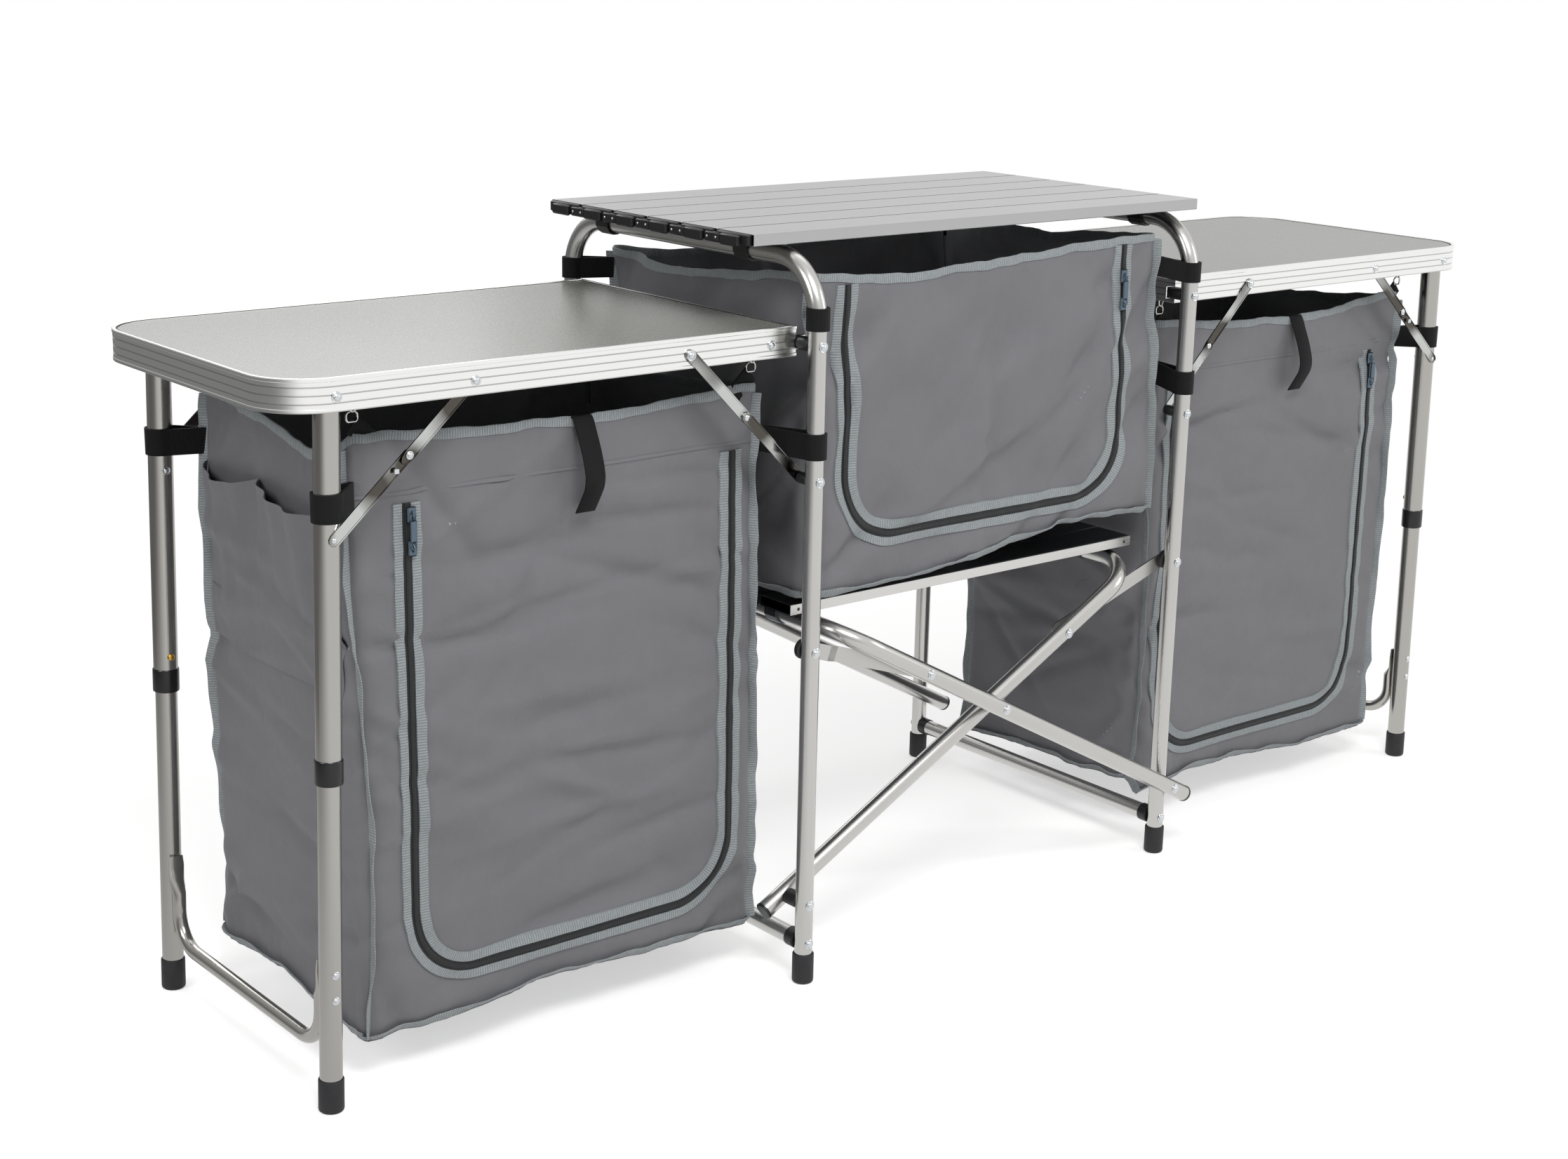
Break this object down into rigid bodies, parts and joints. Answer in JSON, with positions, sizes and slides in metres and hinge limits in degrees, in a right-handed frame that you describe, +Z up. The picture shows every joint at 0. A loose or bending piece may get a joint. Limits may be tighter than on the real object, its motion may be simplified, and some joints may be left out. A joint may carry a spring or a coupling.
{
  "type": "camp kitchen unit",
  "caption": "Folding camp kitchen: two side tables on telescopic legs, a raised roll-up slat top, a slat shelf and zipped cloth cupboards on folding tube frames.",
  "frame": {"origin": "middle of the footprint box, on the floor", "axes": "+X to the user's right along the unit, +Y to the back, +Z up; the user stands at -Y"},
  "size_m": [1.986, 0.5576, 0.905],
  "materials": {
    "tube_aluminium": "satin anodised tube",
    "bar_aluminium": "flat bar, satin",
    "trim_aluminium": "ribbed extrusion, satin",
    "slat_aluminium": "satin anodised extrusion",
    "zinc_steel": "zinc-plated pressing",
    "brass": "plain turned brass",
    "grey_laminate": "satin laminate on board",
    "black_rubber": "moulded rubber",
    "black_plastic": "moulded plastic",
    "grey_cloth": "coated woven polyester"
  },
  "bodies": {
    "left_frame": {"left_frame_tube": "tube_aluminium", "left_frame_rail": "tube_aluminium", "left_frame_foot_front": "black_rubber", "left_frame_foot_rear": "black_rubber", "left_saddle_clip_front": "black_plastic", "left_saddle_clip_rear": "black_plastic", "centre_bag": "grey_cloth"},
    "arm_a": {"arm_a_tube": "tube_aluminium"},
    "arm_b": {"arm_b_tube": "tube_aluminium"},
    "right_frame": {"right_frame_tube": "tube_aluminium", "right_frame_rail": "tube_aluminium", "right_frame_foot_front": "black_rubber", "right_frame_foot_rear": "black_rubber", "right_saddle_clip_front": "black_plastic", "right_saddle_clip_rear": "black_plastic"},
    "left_links": {"left_link_front": "bar_aluminium", "left_link_rear": "bar_aluminium"},
    "right_links": {"right_link_front": "bar_aluminium", "right_link_rear": "bar_aluminium"},
    "shelf": {"slat_shelf": "slat_aluminium"},
    "slat_top": {"slat_top": "slat_aluminium"},
    "centre_zip": {"centre_zip_slider": "zinc_steel"},
    "left_table": {"left_board": "grey_laminate", "left_trim": "trim_aluminium", "left_bag": "grey_cloth"},
    "left_upper_legs": {"left_upper_leg_front": "tube_aluminium", "left_upper_leg_rear": "tube_aluminium"},
    "left_lower_legs": {"left_lower_legs": "tube_aluminium", "left_leg_foot_front": "black_rubber", "left_leg_foot_rear": "black_rubber"},
    "left_leg_struts_upper": {"left_leg_strut_upper_front": "zinc_steel", "left_leg_strut_upper_rear": "zinc_steel"},
    "left_leg_struts_lower": {"left_leg_strut_lower_front": "zinc_steel", "left_leg_strut_lower_rear": "zinc_steel"},
    "left_frame_struts_upper": {"left_frame_strut_upper_front": "zinc_steel", "left_frame_strut_upper_rear": "zinc_steel"},
    "left_frame_struts_lower": {"left_frame_strut_lower_front": "zinc_steel", "left_frame_strut_lower_rear": "zinc_steel"},
    "left_front_button": {"left_button_front": "brass"},
    "left_rear_button": {"left_button_rear": "brass"},
    "left_zip": {"left_zip_slider": "zinc_steel"},
    "right_table": {"right_board": "grey_laminate", "right_trim": "trim_aluminium", "right_bag": "grey_cloth"},
    "right_upper_legs": {"right_upper_leg_front": "tube_aluminium", "right_upper_leg_rear": "tube_aluminium"},
    "right_lower_legs": {"right_lower_legs": "tube_aluminium", "right_leg_foot_front": "black_rubber", "right_leg_foot_rear": "black_rubber"},
    "right_leg_struts_upper": {"right_leg_strut_upper_front": "zinc_steel", "right_leg_strut_upper_rear": "zinc_steel"},
    "right_leg_struts_lower": {"right_leg_strut_lower_front": "zinc_steel", "right_leg_strut_lower_rear": "zinc_steel"},
    "right_frame_struts_upper": {"right_frame_strut_upper_front": "zinc_steel", "right_frame_strut_upper_rear": "zinc_steel"},
    "right_frame_struts_lower": {"right_frame_strut_lower_front": "zinc_steel", "right_frame_strut_lower_rear": "zinc_steel"},
    "right_front_button": {"right_button_front": "brass"},
    "right_rear_button": {"right_button_rear": "brass"},
    "right_zip": {"right_zip_slider": "zinc_steel"}
  },
  "joints": [
    {"name": "centre_fold", "type": "hinge", "parent": "left_frame", "child": "arm_a", "pos_m": [-0.333, 0, 0.102], "axis": [0, -1, 0], "range_deg": [0, 20], "deforming": ["centre_bag"]},
    {"name": "arm_cross", "type": "hinge", "parent": "arm_a", "child": "arm_b", "pos_m": [0, 0, 0.2813], "axis": [0, -1, 0], "range_deg": [-40.5, 0]},
    {"name": "right_frame_pivot", "type": "hinge", "parent": "arm_b", "child": "right_frame", "pos_m": [0.333, 0, 0.102], "axis": [0, -1, 0], "range_deg": [0, 20.5]},
    {"name": "shelf_pivot", "type": "hinge", "parent": "arm_b", "child": "shelf", "pos_m": [-0.26555, 0, 0.42429], "axis": [0, -1, 0], "range_deg": [0, 20.5]},
    {"name": "left_link_pivot", "type": "hinge", "parent": "left_frame", "child": "left_links", "pos_m": [-0.333, 0, 0.42], "axis": [0, -1, 0], "range_deg": [0, 46.24]},
    {"name": "right_link_pivot", "type": "hinge", "parent": "right_frame", "child": "right_links", "pos_m": [0.333, 0, 0.42], "axis": [0, -1, 0], "range_deg": [-46.24, 0]},
    {"name": "slat_top_lift", "type": "slide", "parent": "left_frame", "child": "slat_top", "axis": [0, 0, 1], "range_m": [0, 0.08]},
    {"name": "centre_zip_slide", "type": "slide", "parent": "right_frame", "child": "centre_zip", "axis": [0, 0, -1], "range_m": [0, 0.2]},
    {"name": "left_table_fold", "type": "hinge", "parent": "left_frame", "child": "left_table", "pos_m": [-0.333, 0, 0.781], "axis": [0, -1, 0], "range_deg": [0, 45], "deforming": ["left_bag"]},
    {"name": "left_frame_strut_upper", "type": "hinge", "parent": "left_table", "child": "left_frame_struts_upper", "pos_m": [-0.49, 0, 0.781], "axis": [0, -1, 0], "range_deg": [0, 35.29]},
    {"name": "left_frame_strut_knee", "type": "hinge", "parent": "left_frame_struts_upper", "child": "left_frame_struts_lower", "pos_m": [-0.4115, 0, 0.7025], "axis": [0, -1, 0], "range_deg": [-115.12, 0]},
    {"name": "left_leg_fold", "type": "hinge", "parent": "left_table", "child": "left_upper_legs", "pos_m": [-0.927, 0, 0.781], "axis": [0, -1, 0], "range_deg": [0, 91.5]},
    {"name": "left_leg_retract", "type": "slide", "parent": "left_upper_legs", "child": "left_lower_legs", "axis": [0.0262, 0, 0.9997], "range_m": [0, 0.2]},
    {"name": "left_leg_strut_upper", "type": "hinge", "parent": "left_table", "child": "left_leg_struts_upper", "pos_m": [-0.766, 0, 0.781], "axis": [0, -1, 0], "range_deg": [0, 138.57]},
    {"name": "left_leg_strut_knee", "type": "hinge", "parent": "left_leg_struts_upper", "child": "left_leg_struts_lower", "pos_m": [-0.8436, 0, 0.71137], "axis": [0, -1, 0], "range_deg": [-180.48, 0]},
    {"name": "left_front_button_press", "type": "slide", "parent": "left_upper_legs", "child": "left_front_button", "axis": [0, -1, 0], "range_m": [0, 0.0035], "stiffness_N_per_m": 400},
    {"name": "left_rear_button_press", "type": "slide", "parent": "left_upper_legs", "child": "left_rear_button", "axis": [0, 1, 0], "range_m": [0, 0.0035], "stiffness_N_per_m": 400},
    {"name": "left_zip_slide", "type": "slide", "parent": "left_table", "child": "left_zip", "axis": [0, 0, -1], "range_m": [0, 0.4]},
    {"name": "right_table_fold", "type": "hinge", "parent": "right_frame", "child": "right_table", "pos_m": [0.333, 0, 0.781], "axis": [0, 1, 0], "range_deg": [0, 45], "deforming": ["right_bag"]},
    {"name": "right_frame_strut_upper", "type": "hinge", "parent": "right_table", "child": "right_frame_struts_upper", "pos_m": [0.49, 0, 0.781], "axis": [0, 1, 0], "range_deg": [0, 35.29]},
    {"name": "right_frame_strut_knee", "type": "hinge", "parent": "right_frame_struts_upper", "child": "right_frame_struts_lower", "pos_m": [0.4115, 0, 0.7025], "axis": [0, 1, 0], "range_deg": [-115.12, 0]},
    {"name": "right_leg_fold", "type": "hinge", "parent": "right_table", "child": "right_upper_legs", "pos_m": [0.927, 0, 0.781], "axis": [0, 1, 0], "range_deg": [0, 91.5]},
    {"name": "right_leg_retract", "type": "slide", "parent": "right_upper_legs", "child": "right_lower_legs", "axis": [-0.0262, 0, 0.9997], "range_m": [0, 0.2]},
    {"name": "right_leg_strut_upper", "type": "hinge", "parent": "right_table", "child": "right_leg_struts_upper", "pos_m": [0.766, 0, 0.781], "axis": [0, 1, 0], "range_deg": [0, 138.57]},
    {"name": "right_leg_strut_knee", "type": "hinge", "parent": "right_leg_struts_upper", "child": "right_leg_struts_lower", "pos_m": [0.8436, 0, 0.71137], "axis": [0, 1, 0], "range_deg": [-180.48, 0]},
    {"name": "right_front_button_press", "type": "slide", "parent": "right_upper_legs", "child": "right_front_button", "axis": [0, -1, 0], "range_m": [0, 0.0035], "stiffness_N_per_m": 400},
    {"name": "right_rear_button_press", "type": "slide", "parent": "right_upper_legs", "child": "right_rear_button", "axis": [0, 1, 0], "range_m": [0, 0.0035], "stiffness_N_per_m": 400},
    {"name": "right_zip_slide", "type": "slide", "parent": "right_table", "child": "right_zip", "axis": [0, 0, -1], "range_m": [0, 0.4]}
  ],
  "couplings": [
    {"joint": "arm_cross", "follows": "centre_fold", "ratio": -2},
    {"joint": "right_frame_pivot", "follows": "centre_fold", "ratio": 1},
    {"joint": "shelf_pivot", "follows": "centre_fold", "ratio": 1},
    {"joint": "left_link_pivot", "follows": "centre_fold", "ratio": 2.287},
    {"joint": "right_link_pivot", "follows": "centre_fold", "ratio": -2.287},
    {"joint": "left_frame_strut_upper", "follows": "left_table_fold", "ratio": 0.773},
    {"joint": "left_frame_strut_knee", "follows": "left_table_fold", "ratio": -2.547},
    {"joint": "left_leg_retract", "follows": "left_leg_fold", "m_per_rad": 0.12461},
    {"joint": "left_leg_strut_upper", "follows": "left_leg_fold", "ratio": 1.509},
    {"joint": "left_leg_strut_knee", "follows": "left_leg_fold", "ratio": -1.967},
    {"joint": "right_frame_strut_upper", "follows": "right_table_fold", "ratio": 0.773},
    {"joint": "right_frame_strut_knee", "follows": "right_table_fold", "ratio": -2.547},
    {"joint": "right_leg_retract", "follows": "right_leg_fold", "m_per_rad": 0.12461},
    {"joint": "right_leg_strut_upper", "follows": "right_leg_fold", "ratio": 1.509},
    {"joint": "right_leg_strut_knee", "follows": "right_leg_fold", "ratio": -1.967}
  ]
}
